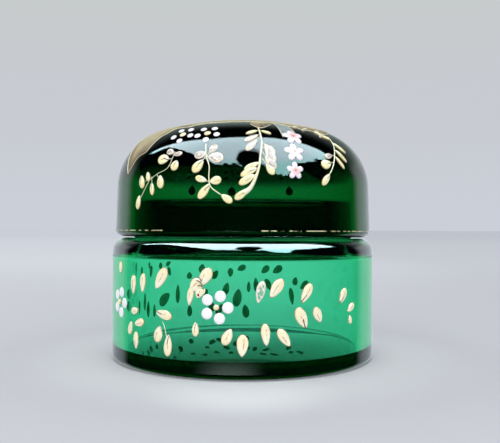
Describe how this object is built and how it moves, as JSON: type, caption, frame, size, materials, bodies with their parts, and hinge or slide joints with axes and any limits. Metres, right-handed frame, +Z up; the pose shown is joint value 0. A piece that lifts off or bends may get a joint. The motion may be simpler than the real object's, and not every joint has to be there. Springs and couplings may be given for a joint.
{
  "type": "trinket box",
  "caption": "Round green glass trinket box with a domed lid that lifts off an inner collar, and raised enamel leaves, dots and blossoms.",
  "frame": {"origin": "centre of the foot, on the surface that the box stands on", "axes": "+Z up along the box's own axis, -Y towards the decorated front, +X to the right seen from the front"},
  "size_m": [0.09, 0.0909, 0.0809],
  "materials": {
    "base_glass": "clear emerald green blown glass, fire polished",
    "lid_glass": "clear deep green blown glass, fire polished",
    "gold_enamel": "raised cream-gold enamel with pink-brown strokes",
    "white_enamel": "raised gloss white enamel",
    "blossom_enamel": "raised white enamel tinted pink towards the centre"
  },
  "bodies": {
    "base": {"base_bowl": "base_glass", "base_leaf_1": "gold_enamel", "base_leaf_2": "gold_enamel", "base_leaf_3": "gold_enamel", "base_leaf_4": "gold_enamel", "base_leaf_5": "gold_enamel", "base_leaf_6": "gold_enamel", "base_leaf_7": "gold_enamel", "base_leaf_8": "gold_enamel", "base_leaf_9": "gold_enamel", "base_leaf_10": "gold_enamel", "base_leaf_11": "gold_enamel", "base_leaf_12": "gold_enamel", "base_leaf_13": "gold_enamel", "base_leaf_14": "gold_enamel", "base_leaf_15": "gold_enamel", "base_leaf_16": "gold_enamel", "base_leaf_17": "gold_enamel", "base_leaf_18": "gold_enamel", "base_leaf_19": "gold_enamel", "base_leaf_20": "gold_enamel", "base_leaf_21": "gold_enamel", "base_leaf_22": "gold_enamel", "base_leaf_23": "gold_enamel", "base_leaf_24": "gold_enamel", "base_curled_leaf": "gold_enamel", "base_gold_dot_1": "gold_enamel", "base_gold_dot_2": "gold_enamel", "base_white_dot_1_1": "white_enamel", "base_white_dot_1_2": "white_enamel", "base_white_dot_1_3": "white_enamel", "base_white_dot_1_4": "white_enamel", "base_white_dot_1_5": "white_enamel", "base_white_dot_2_1": "white_enamel", "base_white_dot_2_2": "white_enamel", "base_white_dot_2_3": "white_enamel", "base_white_dot_2_4": "white_enamel", "base_white_dot_2_5": "white_enamel"},
    "lid": {"lid_dome": "lid_glass", "lid_spray_1": "gold_enamel", "lid_spray_2": "gold_enamel", "lid_spray_3": "gold_enamel", "lid_spray_4": "gold_enamel", "lid_blossom_1": "blossom_enamel", "lid_blossom_2": "blossom_enamel", "lid_blossom_3": "blossom_enamel", "lid_gold_dot_1": "gold_enamel", "lid_gold_dot_2": "gold_enamel", "lid_white_dot_1_1": "white_enamel", "lid_white_dot_1_2": "white_enamel", "lid_white_dot_1_3": "white_enamel", "lid_white_dot_1_4": "white_enamel", "lid_white_dot_1_5": "white_enamel", "lid_white_dot_2_1": "white_enamel", "lid_white_dot_2_2": "white_enamel", "lid_white_dot_2_3": "white_enamel", "lid_white_dot_2_4": "white_enamel", "lid_white_dot_2_5": "white_enamel"}
  },
  "joints": [
    {"name": "lid_lift", "type": "slide", "parent": "base", "child": "lid", "axis": [0, 0, 1], "range_m": [0, 0.06]}
  ]
}
